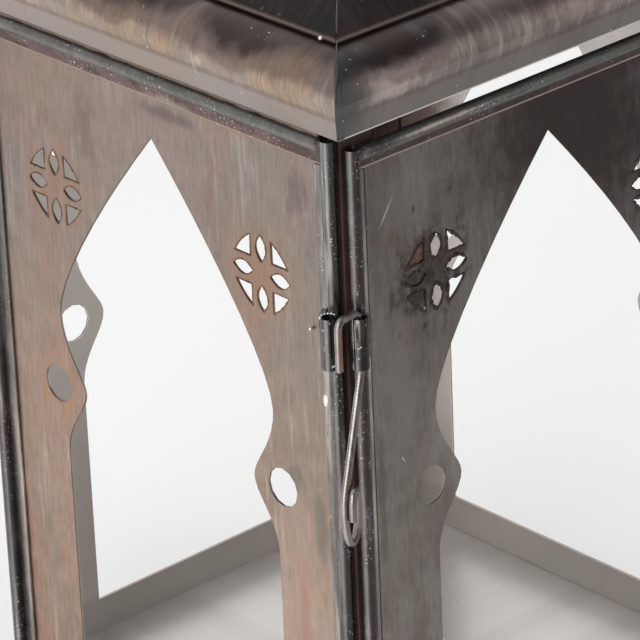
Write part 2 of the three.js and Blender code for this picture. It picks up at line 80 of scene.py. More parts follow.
BODY_OF = {node: body for body, nodes in frame["record"]["behaviour"]["bodies"].items() for node in nodes}
SLOT_OF = {part["node"]: part["material_slot"] for part in frame["record"]["subparts"]}

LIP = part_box("cornice_front")[0].z  # lower edge of the cornice
CORNICE_FACE = -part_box("cornice_front")[0].y  # how far out the cornice comes, from the middle
WALL_FACE = -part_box("left_panel")[0].x  # outer face of the walls, from the middle
LEAF_FROM = WALL_FACE - 5.6 * MM  # where a roll ends and its leaf begins, from the middle
ROLL = (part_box("door_top_rail")[1].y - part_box("door_top_rail")[0].y) / 2  # radius of a rolled edge


# Sizes and colours


def colour(name, description, *screen):
    """A colour for the user to set, written as eight-bit screen values and kept as linear ones."""
    linear = [((value / 255 + 0.055) / 1.055) ** 2.4 for value in screen]
    return FloatVectorProperty(
        name=name, description=description, subtype="COLOR", size=3, min=0, max=1, default=linear
    )


def angle(name, description, degrees):
    return FloatProperty(name=name, description=description, default=math.radians(degrees), subtype="ANGLE")


def length(name, description, metres):
    return FloatProperty(name=name, description=description, default=metres, unit="LENGTH", precision=5)


def power(name, description, watts):
    return FloatProperty(name=name, description=description, default=watts, unit="POWER")


class LanternFinish(bpy.types.PropertyGroup):
    """Colours of the aged metals."""

    wall: colour("Wall", "Sheet of the fixed walls", 154, 136, 124)
    wall_warm: colour("Wall, Warm", "Copper-coloured streaks on the walls", 162, 132, 115)
    wall_cool: colour("Wall, Cool", "Olive grey streaks on the walls", 144, 134, 122)
    wall_light: colour("Wall, Light", "Pale drawn lines on the walls", 184, 171, 160)
    # Painted shade, deepening towards the walls' upper edge under the cornice.
    wall_head: colour("Wall Head", "Dims the walls towards their upper edge", 224, 228, 234)
    wall_foot: colour("Wall Foot", "Warms the lower half of the walls", 255, 246, 240)
    # Painted highlight: the bright colour along the lower edge of the top rails' leaf under the cornice.
    wall_edge: colour("Wall Edge", "Worn lower edge of the strip under the cornice", 176, 150, 130)
    # The door's colours are darker than the walls': partly a greyer sheet, partly painted shade for the side
    # turned from the key lamp.
    door: colour("Door", "Sheet of the door", 122, 116, 110)
    door_warm: colour("Door, Warm", "Brown streaks on the door", 98, 84, 79)
    door_cool: colour("Door, Cool", "Grey streaks on the door", 130, 128, 122)
    # Painted shade, deepening towards the door's upper edge under the cornice.
    door_head: colour("Door Head", "Dims the door towards its upper edge", 222, 222, 223)
    door_foot: colour("Door Foot", "Level of the lower half of the door", 250, 250, 251)
    brass: colour("Hole Tint", "Orange brown where a hole was pierced", 168, 128, 100)
    soot: colour("Soot", "Dark film left by smoke and flux", 58, 47, 46)
    plum: colour("Plum", "Purple film beside the soot", 106, 88, 86)
    slate: colour("Slate", "Blue-grey film beside the soot", 94, 96, 93)
    pewter: colour("Pewter", "Rolled edges and knuckles", 84, 83, 83)
    leaf: colour("Leaf", "Bright strip beside a wall's rolled edge", 112, 109, 106)
    solder: colour("Solder", "Fresh beads and flecks of solder", 222, 218, 212)
    moulding: colour("Moulding", "Cornice and plinth", 147, 132, 121)
    moulding_warm: colour("Moulding, Warm", "Golden streaks on the cornice", 157, 131, 107)
    moulding_cool: colour("Moulding, Cool", "Pinkish grey streaks on the cornice", 146, 136, 131)
    # Painted shade: the front moulding's colours are darker copies of the moulding's, for the side turned
    # from the key lamp, and its end at the latched corner is darker still.
    front: colour("Front Moulding", "Cornice and plinth on the door's side", 124, 115, 110)
    front_end: colour("Front End", "Dark end of the front cornice, at the latched corner", 66, 69, 67)
    front_foot: colour("Front Foot", "Lower part of the cornice over the door", 104, 99, 95)
    roof: colour("Roof", "Blackened roof sheets", 26, 23, 22)
    frame: colour("Frame", "Corner posts and inner frame", 90, 64, 60)
    floor: colour("Floor Plate", "Plate that the candle stands on", 226, 223, 221)
    wire: colour("Wire", "Worn wire of the hook and the ring", 134, 128, 123)
    # Painted light: a pale colour standing in for candle light on the inside of the walls.
    inner: colour("Inner Face", "Inside of the walls, kept bright by the candle", 222, 216, 211)
    burr: colour("Burr", "Oxidised burrs round the holes in the walls", 128, 92, 72)
    crust: colour("Crust", "Flux crusted round the holes in the door", 62, 53, 49)
    maroon: colour("Maroon", "Dark strip under the door's top roll", 74, 61, 57)
    rust: colour("Rust", "Rust on the wire", 112, 74, 55)


class LanternEdges(bpy.types.PropertyGroup):
    """How far edges are softened."""

    sheet: length("Sheet Edge", "Rounding of cut sheet edges", 0.18 * MM)
    angle: angle("Angle", "Edges sharper than this are rounded", 38)
    segments: IntProperty(name="Segments", description="Steps across a rounded edge", default=2, min=1, max=6)


class LanternView(bpy.types.PropertyGroup):
    """Camera and lamps."""

    azimuth: angle("Azimuth", "Camera's turn round the lantern", -41.634)
    elevation: angle("Elevation", "Camera's height over the horizon", 25.253)
    roll: angle("Roll", "Camera's tilt to one side", -2.515)
    distance: length("Distance", "From the camera to the latched corner", 1.27)
    below_lip: length("Below Lip", "Height of the aim below the cornice", 55.6 * MM)
    outside: length("Outside", "Distance of the aim out from the left wall", 4.6 * MM)
    behind: length("Behind", "Distance of the aim back from the door's face", 5.7 * MM)
    lens: FloatProperty(
        name="Focal Length", description="Lens on a 36 mm sensor", default=258.75, unit="CAMERA"
    )
    key: power("Key", "Power of the large lamp on the left", 7)
    fill: power("Fill", "Power of the lamp on the right", 2.5)
    top: power("Top", "Power of the lamp overhead", 4)
    white: FloatProperty(name="White", description="Level of the white background", default=0.9, min=0, max=1)


SETTINGS = {"lantern_finish": LanternFinish, "lantern_edges": LanternEdges, "lantern_view": LanternView}


def settings(context):
    scene = context.scene
    return scene.lantern_finish, scene.lantern_edges, scene.lantern_view


# Node helpers


FLOAT, COLOUR, VECTOR = "NodeSocketFloat", "NodeSocketColor", "NodeSocketVector"
GREY, WHITE = (0.5, 0.5, 0.5), (1.0, 1.0, 1.0)
GROUPS = {}


class Graph:
    """Adds nodes to a tree and sets their inputs. An input is a value, another node's output or the name of
    one of the finish's colours."""

    def __init__(self, tree, finish=None):
        self.tree = tree
        self.finish = finish

    def add(self, kind, inputs=None, **options):
        node = self.tree.nodes.new(kind)
        for name, value in options.items():
            setattr(node, name, value)
        for key, value in (inputs or {}).items():
            self.feed(node.inputs[key], value)
        return node

    def feed(self, socket, value):
        if isinstance(value, str):
            value = getattr(self.finish, value)
        if isinstance(value, bpy.types.NodeSocket):
            self.tree.links.new(value, socket)
        elif socket.type == "RGBA" and len(value) == 3:
            socket.default_value = (*value, 1)
        else:
            socket.default_value = value

    def math(self, operation, first, second=0.0):
        return self.add("ShaderNodeMath", {0: first, 1: second}, operation=operation).outputs[0]

    def plus(self, first, second):
        return self.math("ADD", first, second)

    def minus(self, first, second):
        return self.math("SUBTRACT", first, second)

    def times(self, first, second):
        return self.math("MULTIPLY", first, second)

    def larger(self, first, second):
        return self.math("MAXIMUM", first, second)

    def noise(self, vector, scale, detail=4.0, roughness=0.55, distortion=0.0):
        inputs = {"Vector": vector, "Scale": scale, "Detail": detail, "Roughness": roughness}
        return self.add("ShaderNodeTexNoise", inputs | {"Distortion": distortion}).outputs["Fac"]

    def stretch(self, vector, scale, offset=(0, 0, 0)):
        inputs = {"Vector": vector, "Scale": scale, "Location": offset}
        return self.add("ShaderNodeMapping", inputs).outputs[0]

    def ramp(self, value, low, high, first, last, **options):
        inputs = {"Value": value, "From Min": low, "From Max": high, "To Min": first, "To Max": last}
        return self.add("ShaderNodeMapRange", inputs, **options).outputs[0]

    def window(self, value, low, high):
        """0 below low, 1 above high, or the other way round where low is the larger."""
        ends = (low, high, 0.0, 1.0) if low < high else (high, low, 1.0, 0.0)
        return self.ramp(value, *ends, interpolation_type="SMOOTHSTEP")

    def choose(self, factor, first, second):
        return self.add("ShaderNodeMix", {0: factor, 2: first, 3: second}, data_type="FLOAT").outputs[0]

    def mix(self, factor, first, second, blend="MIX"):
        inputs = {0: factor, 6: first, 7: second}
        return self.add("ShaderNodeMix", inputs, data_type="RGBA", blend_type=blend).outputs[2]

    def tinted(self, colour, tint):
        return self.mix(1.0, colour, tint, "MULTIPLY")

    def film(self, colour, tint, mask, amount):
        """Lays an amount of a tint over a colour, where a mask says."""
        return self.mix(self.times(mask, amount), colour, tint)

    def place(self):
        return self.add("ShaderNodeTexCoord").outputs["Object"]

    def axes(self, vector=None):
        return self.add("ShaderNodeSeparateXYZ", {0: vector or self.place()}).outputs

    def height(self):
        """Height above the cornice's lower edge."""
        return self.minus(self.axes()[2], LIP)

    def level(self, low, high):
        """A window over the height, in mm from the cornice's lower edge."""
        return self.window(self.height(), low * MM, high * MM)

    def group(self, name, inputs=None):
        return self.add("ShaderNodeGroup", inputs, node_tree=GROUPS[name]()).outputs

    def sheet(self, base, warm, cool, light=GREY, **values):
        """Drawn sheet in four colours. Values are the group's other inputs, with underscores for spaces."""
        inputs = {"Base": base, "Warm": warm, "Cool": cool, "Light": light}
        inputs |= {name.replace("_", " ").title(): value for name, value in values.items()}
        return self.group("drawn_sheet", inputs)

    def dust(self, fineness, rarity, drift):
        return self.group("specks", {"Fineness": fineness, "Rarity": rarity, "Drift": drift})["Mask"]

    def stained(self, colour, stains_and_painted_light):
        """Lays blots over a colour, each as a tint, an amount, a middle and reaches in mm, a raggedness and,
        where it leans, a turn. Most are stain and dirt; those noted where they are listed are painted
        highlights and painted shade."""
        for tint, amount, middle, reach, ragged, *turn in stains_and_painted_light:
            x, y, z = middle
            inputs = {
                "Vector": self.place(),
                "Location": (x * MM, y * MM, LIP + z * MM),
                "Rotation": turn[0] if turn else (0, 0, 0),
                "Scale": [size * MM for size in reach],
            }
            inside = self.add("ShaderNodeMapping", inputs, vector_type="TEXTURE").outputs[0]
            mask = self.group("blot", {"Vector": inside, "Ragged": ragged})["Mask"]
            colour = self.film(colour, tint, mask, amount)
        return colour


def cleared(owner, finish=None):
    """The Graph of a material or a world, without the nodes that it came with."""
    owner.use_nodes = True
    owner.node_tree.nodes.clear()
    return Graph(owner.node_tree, finish)


def shared_group(inputs, outputs):
    """Keeps the function below it as a node group that all materials share. Inputs are (name, kind, default)
    and outputs (name, kind). The function gets a Graph and the inputs, and gives what goes out, in order."""

    def keep(build):
        def shared():
            name = build.__name__
            if name in bpy.data.node_groups:
                return bpy.data.node_groups[name]
            tree = bpy.data.node_groups.new(name, "ShaderNodeTree")
            for label, kind, default in inputs:
                socket = tree.interface.new_socket(label, in_out="INPUT", socket_type=kind)
                socket.default_value = (*default, 1) if kind == COLOUR else default
            for label, kind in outputs:
                tree.interface.new_socket(label, in_out="OUTPUT", socket_type=kind)
            g = Graph(tree)
            results = build(g, g.add("NodeGroupInput").outputs)
            for socket, value in zip(g.add("NodeGroupOutput").inputs, results):
                g.feed(socket, value)
            return tree

        GROUPS[build.__name__] = shared
        return build

    return keep


@shared_group([], [("Vector", VECTOR)])
def side_place(g, given):
    """Place on one of the four sides: X runs along the side, Z up, and X is shifted from side to side."""
    x, y, z = g.axes()
    turned = g.math("GREATER_THAN", g.math("ABSOLUTE", x), g.math("ABSOLUTE", y))
    across = g.choose(turned, y, x)
    shift = g.plus(g.times(turned, 1.37), g.times(g.math("SIGN", across), 0.61))
    along = g.plus(g.choose(turned, x, y), shift)
    return (g.add("ShaderNodeCombineXYZ", {0: along, 2: z}).outputs[0],)


@shared_group(
    [
        *((label, COLOUR, GREY) for label in ("Base", "Warm", "Cool", "Light")),
        ("Warm Amount", FLOAT, 0.7),
        ("Cool Amount", FLOAT, 0.6),
        ("Light Amount", FLOAT, 0.4),
        ("Streak", FLOAT, 0.3),
        ("Patch", FLOAT, 32.0),
        ("Grain", FLOAT, 0.35),
    ],
    [("Color", COLOUR), ("Shine", FLOAT), ("Height", FLOAT)],
)
def drawn_sheet(g, given):
    """Base colour with warm and cool patches and pale lines drawn out along the height, and a fine grain."""
    place = g.group("side_place")["Vector"]
    drawn = g.add("ShaderNodeCombineXYZ", {0: 1.0, 1: 1.0, 2: given["Streak"]}).outputs[0]
    stretched = g.add("ShaderNodeVectorMath", {0: place, 1: drawn}, operation="MULTIPLY").outputs[0]
    patches = g.noise(stretched, given["Patch"], 5.0, 0.6, 0.6)
    shifted = g.stretch(stretched, (1, 1, 1), (0.31, 0.17, 0.05))
    others = g.noise(shifted, g.times(given["Patch"], 1.7), 5.0, 0.6, 0.4)
    lines = g.noise(g.stretch(place, (1, 1, 0.07)), 330.0, 3.0, 0.6, 0.3)
    fine = g.noise(g.stretch(place, (1, 1, 0.12)), 900.0, 3.0, 0.6)
    mottle = g.noise(g.place(), 170.0, 4.0, 0.65)
    warmed = g.film(given["Base"], given["Warm"], g.window(patches, 0.46, 0.6), given["Warm Amount"])
    cooled = g.film(warmed, given["Cool"], g.window(others, 0.47, 0.6), given["Cool Amount"])
    gathered = g.times(g.window(lines, 0.52, 0.68), g.window(others, 0.4, 0.55))
    lined = g.film(cooled, given["Light"], gathered, given["Light Amount"])
    texture = g.plus(g.times(fine, 0.5), g.times(mottle, 0.5))
    level = g.plus(1.0, g.times(g.minus(texture, 0.5), g.times(given["Grain"], 4.0)))
    grey = g.add("ShaderNodeCombineColor", {0: level, 1: level, 2: level}).outputs[0]
    shine = g.plus(g.times(patches, 0.4), g.times(mottle, 0.6))
    return g.tinted(lined, grey), shine, g.plus(g.times(mottle, 0.5), g.times(fine, 0.25))


@shared_group([("Fineness", FLOAT, 900.0), ("Rarity", FLOAT, 0.66), ("Drift", FLOAT, 0.5)], [("Mask", FLOAT)])
def specks(g, given):
    """Mask of small irregular flecks that gather in drifts."""
    fleck = g.minus(g.noise(g.place(), given["Fineness"], 2.0, 0.5), given["Rarity"])
    drift = g.minus(g.noise(g.stretch(g.place(), (1, 1, 0.6)), 70.0, 3.0), given["Drift"])
    return (g.times(g.window(fleck, 0.0, 0.04), g.window(drift, -0.05, 0.05)),)


@shared_group([], [("Painted Highlight", FLOAT), ("Far", FLOAT), ("Rim", FLOAT)])
def turned_side(g, given):
    """Masks for light painted on round parts, from their normals: a painted highlight on the left side,
    painted shade on the right side and a painted highlight along the right rim.
    """
    facing = g.axes(g.add("ShaderNodeTexCoord").outputs["Normal"])
    away = g.minus(g.times(facing[0], 0.75), g.times(facing[1], 0.35))
    highlighted = g.times(g.window(away, -0.68, -0.52), g.window(away, -0.26, -0.42))
    return highlighted, g.window(away, -0.42, -0.08), g.window(away, 0.64, 0.72)


@shared_group([("Vector", VECTOR, (0, 0, 0)), ("Ragged", FLOAT, 0.4)], [("Mask", FLOAT)])
def blot(g, given):
    """Mask that is whole near the middle of a unit ball and ends in a soft, ragged rim."""
    reached = g.add("ShaderNodeVectorMath", {0: given["Vector"]}, operation="LENGTH").outputs["Value"]
    place = g.place()
    wander = g.plus(g.noise(place, 190.0, 4.0, 0.6), g.noise(g.stretch(place, (1, 1, 0.25)), 420.0, 3.0))
    swing = g.times(g.minus(wander, 1.0), g.times(given["Ragged"], 3.0))
    return (g.window(g.plus(reached, swing), 1.05, 0.2),)


def metal(shine, metallic=0.85, grain=0.2, dents=0.35):
    """Makes the function below it give a metal's material, which is made once. The function gets a Graph, and
    gives a colour, a drawn sheet and, if it likes, a mask of what stands out. Shine is two roughnesses."""

    def keep(paint):
        def shared(finish):
            name = f"aged_{paint.__name__}"
            if name in bpy.data.materials:
                return bpy.data.materials[name]
            material = bpy.data.materials.new(name)
            g = cleared(material, finish)
            base, sheet, *raised = paint(g)
            height = g.plus(sheet["Height"], raised[0]) if raised else sheet["Height"]
            rough = g.ramp(sheet["Shine"], 0.3, 0.7, *shine)
            swell = g.noise(g.place(), 34.0, 1.0, 0.4)
            inputs = {"Strength": dents, "Distance": 3 * MM, "Height": swell}
            dented = g.add("ShaderNodeBump", inputs).outputs[0]
            inputs = {"Strength": grain, "Distance": 0.3 * MM, "Height": height, "Normal": dented}
            normal = g.add("ShaderNodeBump", inputs).outputs[0]
            inputs = {"Base Color": base, "Roughness": rough, "Metallic": metallic, "Normal": normal}
            shader = g.add("ShaderNodeBsdfPrincipled", inputs).outputs[0]
            g.add("ShaderNodeOutputMaterial", {"Surface": shader})
            return material

        return shared

    return keep


# Finishes, whose places are in mm, with heights from the cornice's lower edge


WALL_DEPTH, CORNICE_DEPTH = 8, 9  # how far the blots reach in from a face


def marks_on(side, face, depth, *rows):
    """Blots on a side of the lantern, from rows of a tint, an amount, a place along and up, a reach along and
    up, a raggedness and, where it leans, an angle. Most are stain and dirt; some rows are painted highlights
    and painted shade, as noted by them."""
    out = face / MM if side in ("right", "back") else -face / MM
    stains_and_painted_light = []
    for tint, amount, along, up, wide, high, ragged, *lean in rows:
        lean = lean[0] if lean else 0
        if side in ("left", "right"):
            stains_and_painted_light.append((tint, amount, (out, along, up), (depth, wide, high), ragged, (lean, 0, 0)))
        else:
            stains_and_painted_light.append((tint, amount, (along, out, up), (wide, depth, high), ragged, (0, lean, 0)))
    return stains_and_painted_light


HEAD_STAINS_AND_HIGHLIGHT = marks_on(
    "left", WALL_FACE, WALL_DEPTH,
    ("plum", 0.65, -7, -14.5, 17, 3.2, 0.3),
    ("wall_cool", 0.8, -10, -10.5, 15, 2.6, 0.3),
    # Painted highlight: a thin orange-brown line along the lower edge of the top rail's leaf.
    ("brass", 0.75, -38, -10.9, 24, 0.7, 0.2),
)

LEFT_WALL_STAINS_AND_HIGHLIGHT = HEAD_STAINS_AND_HIGHLIGHT + marks_on(
    "left", WALL_FACE, WALL_DEPTH,
    ("rust", 0.2, -24.5, -34, 4, 13, 0.4, 0.3),
    ("plum", 0.5, -62, -24, 5, 13, 0.5),
    ("brass", 0.45, -45, -51.5, 21, 21, 0.45),
    ("brass", 0.3, -45, -51.5, 15, 15, 0.2),
    ("wall_light", 0.45, -58, -190, 22, 90, 0.2),
    ("wall_warm", 0.6, -57, -160, 5, 34, 0.4),
    ("slate", 0.5, -65.8, -125, 4, 16, 0.5),
    ("wall_cool", 0.6, -63, -78, 3, 22, 0.5),
    ("slate", 0.5, -56, -112, 5, 5, 0.6),
    ("plum", 0.35, 30, -30, 6, 16, 0.6),
    ("brass", 0.5, 45, -51.5, 17, 17, 0.5),
    ("brass", 0.5, 50, -118, 12, 12, 0.5),
)

RIGHT_WALL_STAINS = marks_on(
    "right", WALL_FACE, WALL_DEPTH,
    ("brass", 0.5, 45, -51.5, 18, 18, 0.5),
    ("brass", 0.45, -45, -52, 16, 16, 0.5),
    ("plum", 0.6, -10, -14, 22, 4, 0.4),
    ("slate", 0.5, 66, -110, 4, 26, 0.5),
)

BACK_WALL_STAINS = marks_on(
    "back", WALL_FACE, WALL_DEPTH,
    ("brass", 0.5, 45, -52, 18, 18, 0.5),
    ("brass", 0.45, -45, -51.5, 16, 16, 0.5),
    ("plum", 0.6, 18, -15, 20, 4, 0.4),
    ("slate", 0.5, -66, -130, 4, 24, 0.5),
)

DOOR_STAINS_AND_SHADE = marks_on(
    "front", WALL_FACE, WALL_DEPTH,
    ("soot", 0.95, 10, -24, 62, 50, 0.16, 0.5),
    ("door_cool", 0.6, -60, -84, 9, 30, 0.4),
    ("door_cool", 0.45, -58, -26, 9, 14, 0.5),
    ("soot", 0.7, -46.5, -52.3, 15.5, 15.5, 0.7),
    ("soot", 0.45, -54, -58, 9, 9, 0.6),
    ("soot", 0.4, -69, -115, 2.4, 32, 0.3),
    # Painted shadow: a narrow dark patch right of the latch.
    ("soot", 0.6, -62.8, -56, 1.6, 6, 0.15),
    # Painted shade in a small dent.
    ("soot", 0.8, -53.4, -30.7, 0.8, 2, 0.1),
    ("rust", 0.6, -52.4, -45.2, 5, 5, 0.3),
    ("rust", 0.3, -61.5, -37, 2.5, 3.5, 0.5),
    ("solder", 0.6, -63.8, -28.5, 0.35, 6.8, 0.04, 0.6),
    ("solder", 0.5, -60.4, -105.9, 0.35, 1.6, 0.04, -0.5),
    ("soot", 0.75, 52, -34, 34, 46, 0.3),
    ("soot", 0.55, 47, -52, 15, 15, 0.5),
    ("soot", 0.5, 66, -120, 4, 40, 0.4),
    ("door_warm", 0.6, -56, -170, 8, 26, 0.5),
)

LEFT_CORNICE_STAINS = marks_on(
    "left", CORNICE_FACE, CORNICE_DEPTH,
    ("wall_light", 0.7, -29.2, 10, 0.45, 6.5, 0.04, 0.12),
    ("wall_light", 0.6, -31.5, 11, 1.6, 2.2, 0.3),
    ("wall_light", 0.7, -58.8, 12, 0.4, 4.5, 0.04),
    ("plum", 0.6, -30, 16, 1.4, 4, 0.4),
)

# Painted highlights on the bulge of the front cornice.
FRONT_CORNICE_HIGHLIGHTS = marks_on(
    "front", CORNICE_FACE, CORNICE_DEPTH,
    ("wall_light", 0.6, -66, 12.5, 16, 5, 0.5),
    ("wall_light", 0.4, 20, 14, 44, 4, 0.4),
)


def pierced(g, sheet, light, stains_and_painted_light, head_shade, foot):
    """A pierced sheet, streaked and blotted outside and dimmed towards its upper edge as painted shade;
    inside, a pale colour as painted light, with painted shade along its upper edge and on a patch of the
    right wall.
    """
    marked = g.stained(sheet["Color"], stains_and_painted_light)
    lined = g.film(marked, light, g.dust(1300.0, 0.69, 0.56), 0.35)
    # Painted shade: the sheet is dimmed towards its upper edge, under the cornice, and warmed in its lower
    # half.
    tone = g.mix(g.level(-150, -35), foot, head_shade)
    x, y, _ = g.axes()
    out = g.larger(g.math("ABSOLUTE", x), g.math("ABSOLUTE", y))
    inside = g.window(out, WALL_FACE - 0.4 * MM, WALL_FACE - 0.6 * MM)
    # Painted light and shade inside: a pale colour, and the frame colour along the upper edge.
    soot_and_inside_light = g.mix(g.level(-16, -12), "inner", "frame")
    # Painted shade on a patch inside the right wall.
    soot_and_inside_light = g.stained(soot_and_inside_light, [("frame", 0.9, (80, 62, -78), (8, 30, 52), 0.15)])
    soot_and_inside_light = g.film(soot_and_inside_light, "slate", g.level(-213, -217), 0.2)
    return g.film(g.tinted(lined, tone), soot_and_inside_light, inside, 0.9), sheet


@metal(shine=(0.34, 0.54))
def wall_metal(g):
    light = "wall_light"
    sheet = g.sheet("wall", "wall_warm", "wall_cool", light, light_amount=0.5, warm_amount=0.45)
    stains_and_painted_light = LEFT_WALL_STAINS_AND_HIGHLIGHT + RIGHT_WALL_STAINS + BACK_WALL_STAINS
    return pierced(g, sheet, light, stains_and_painted_light, "wall_head", "wall_foot")


@metal(shine=(0.34, 0.54))
def door_metal(g):
    light = "leaf"
    sheet = g.sheet("door", "door_warm", "door_cool", light, light_amount=0.35, warm_amount=0.45)
    burnt = g.times(g.window(g.noise(g.place(), 620.0, 4.0, 0.65), 0.5, 0.6), 0.9)
    stains_and_painted_light = DOOR_STAINS_AND_SHADE + [("soot", burnt, (-47, -80, -53), (17, 3, 18), 0.35)]
    return pierced(g, sheet, light, stains_and_painted_light, "door_head", "door_foot")


def railed(g, tube, strip, stains_and_painted_light, roll_foot, leaf_foot, edge):
    """Level rolled edge: a tube over a speckled leaf, with a painted highlight in a bright colour along the
    leaf's lower edge.
    """
    sheet = g.sheet(*tube, "slate", "leaf", streak=3.0)
    leaf = g.sheet(*strip, "soot", "leaf", streak=3.0, patch=60.0, cool_amount=0.3)
    parted = g.mix(g.level(roll_foot + 0.3, roll_foot - 0.2), sheet["Color"], leaf["Color"])
    # Painted highlight along the leaf's lower edge.
    painted_edge_line = g.film(parted, edge, g.level(leaf_foot + 0.7, leaf_foot + 0.3), 0.6)
    marked = g.stained(painted_edge_line, stains_and_painted_light)
    return g.film(marked, "solder", g.dust(1200.0, 0.64, 0.5), 0.6), sheet


@metal(shine=(0.3, 0.5))
def rail_metal(g):
    tube, strip = ("leaf", "slate"), ("plum", "maroon")
    leaf_foot = (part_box("left_panel_top_rail")[0].z - LIP) / MM
    return railed(g, tube, strip, HEAD_STAINS_AND_HIGHLIGHT, -6.6, leaf_foot, "wall_edge")


@metal(shine=(0.3, 0.5))
def door_rail_metal(g):
    tube, strip = ("slate", "door_warm"), ("maroon", "soot")
    stains_and_painted_light = (
        # Painted highlight: a thin pale band along the door's top roll.
        ("wall_light", 0.7, (-44, -84, -6.2), (22, 4, 0.8), 0.35),
        ("soot", 0.7, (-68, -84, -6), (8, 6, 4), 0.4),
    )
    leaf_foot = (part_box("door_top_rail")[0].z - LIP) / MM
    return railed(g, tube, strip, stains_and_painted_light, -9.2, leaf_foot, "wall_light")


def moulded(g, colours, foot, soot_from, lip_shine=0.0, end_shade=0.0):
    """A moulding with a plain foot, painted shade in the crease over it and smoke that drifts down from its
    top, and where asked, painted shade at its end by the latched corner and a painted highlight along its
    lip.
    """
    sheet = g.sheet(*colours, "wall_light", streak=0.6, grain=0.5)
    banded = g.film(sheet["Color"], foot, g.level(8.6, 6.5), 0.75)
    # Painted shade in the crease between the bulge and the foot.
    valley_shaded = g.film(banded, "soot", g.times(g.level(6.4, 7.8), g.level(9.6, 8.2)), 0.35)
    marked = g.stained(valley_shaded, LEFT_CORNICE_STAINS + FRONT_CORNICE_HIGHLIGHTS)
    place = g.group("side_place")["Vector"]
    wander = g.plus(g.noise(place, 26.0, 3.0), g.times(g.noise(place, 150.0, 3.0), 0.12))
    edge = g.plus(g.height(), g.times(g.minus(wander, 0.56), 26 * MM))
    soot_and_inside_light = g.window(edge, soot_from * MM, (soot_from + 5.5) * MM)
    patches = g.window(g.noise(place, 60.0, 4.0, 0.6), 0.48, 0.62)
    sooty = g.film(marked, g.film("soot", "slate", patches, 0.35), soot_and_inside_light, 0.95)
    fringe = g.times(g.window(edge, (soot_from - 2.6) * MM, soot_from * MM), g.minus(1.0, soot_and_inside_light))
    purple = g.film(sooty, "plum", fringe, 0.6)
    # Painted shade at the end by the latched corner, as strong as end_shade.
    end_shaded = g.film(purple, "front_end", g.window(g.axes()[0], -66 * MM, -86 * MM), end_shade)
    # Dust specks, and a painted highlight along the lip as strong as lip_shine.
    bright = g.larger(g.times(g.dust(900.0, 0.7, 0.57), 0.7), g.times(g.level(0.8, 0.3), lip_shine))
    return g.mix(bright, end_shaded, "solder"), sheet


@metal(shine=(0.26, 0.46), dents=0.5)
def moulding_metal(g):
    colours = "moulding", "moulding_warm", "moulding_cool"
    return moulded(g, colours, "moulding_cool", 15)


@metal(shine=(0.26, 0.46), dents=0.5)
def front_moulding_metal(g):
    # Darker colours than the other sides, as painted shade, with painted shade at the latched end and a
    # painted highlight along the lip.
    colours = "front", "door_warm", "front_foot"
    return moulded(g, colours, "front_foot", 17.5, lip_shine=0.85, end_shade=0.85)


MOULDING_METALS = {side: front_moulding_metal if side == "front" else moulding_metal for side in SIDES}


def rolled(g, leaf_from=0, leaf_to=0, line=0):
    """Rolled edge: a pewter tube and a leaf between two distances from the middle, with a painted highlight
    on the tube's left side and its right rim, painted shade on its right side, and a dark line of painted
    shadow along the leaf's inner border.
    """
    sheet = g.sheet(
        "pewter", "plum", "slate", "solder",
        streak=0.15, patch=70.0, warm_amount=0.5, light_amount=0.35, grain=0.5,
    )
    strip = g.sheet("leaf", "wall_light", "pewter", "solder", light_amount=0.5, streak=0.1, patch=90.0)
    x, y, _ = g.axes()
    along = g.math("MINIMUM", g.math("ABSOLUTE", x), g.math("ABSOLUTE", y))
    leaf = g.window(along, leaf_from + 0.3 * MM, leaf_from - 0.1 * MM)
    parted = g.mix(leaf, sheet["Color"], strip["Color"])
    sides = g.group("turned_side")
    # Painted highlight on the tube's left side, in the solder colour.
    highlighted = g.film(parted, "solder", sides["Painted Highlight"], 0.12)
    # Painted shade on the tube's right side, in the roof colour, kept off the leaf.
    shaded = g.film(highlighted, "roof", g.times(sides["Far"], g.minus(1.0, leaf)), 0.75)
    # Painted highlight along the tube's right rim.
    rim_lit = g.film(shaded, "wall_light", sides["Rim"], 0.7)
    # Painted shadow: a dark line along the leaf's inner border, as strong as line.
    painted_edge_line = g.film(rim_lit, "roof", g.window(along, leaf_to + 0.7 * MM, leaf_to + 0.45 * MM), line)
    dust = g.dust(1500.0, 0.65, 0.53)
    return g.film(painted_edge_line, "solder", dust, 0.6), sheet, dust


@metal(shine=(0.2, 0.4), dents=0.2)
def stile_metal(g):
    return rolled(g, LEAF_FROM)


@metal(shine=(0.2, 0.4), dents=0.2)
def door_stile_metal(g):
    # The door's stiles get the dark line of painted shadow along the leaf's inner border.
    return rolled(g, LEAF_FROM, -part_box("door_latch_stile")[1].x, 0.85)


@metal(shine=(0.2, 0.4), dents=0.2)
def door_foot_metal(g):
    return rolled(g)


@metal(shine=(0.36, 0.6))
def roof_metal(g):
    sheet = g.sheet(
        "roof", "frame", "soot", "pewter",
        warm_amount=0.12, cool_amount=0.3, light_amount=0.1, streak=0.5, patch=45.0, grain=0.7,
    )
    dusty = g.film(sheet["Color"], "leaf", g.dust(700.0, 0.66, 0.5), 0.45)
    # Lightened along the lower hem with the wall colour: worn metal, and a painted highlight where the hem
    # catches the light.
    return g.film(dusty, "wall", g.level(25.0, 24.4), 0.45), sheet


@metal(shine=(0.5, 0.75), metallic=0.25)
def frame_metal(g):
    colours = "frame", "maroon", "soot", "door_warm"
    sheet = g.sheet(*colours, streak=0.1, patch=60.0, grain=0.5, light_amount=0.2)
    return g.film(sheet["Color"], "roof", g.level(-30, -6), 0.6), sheet


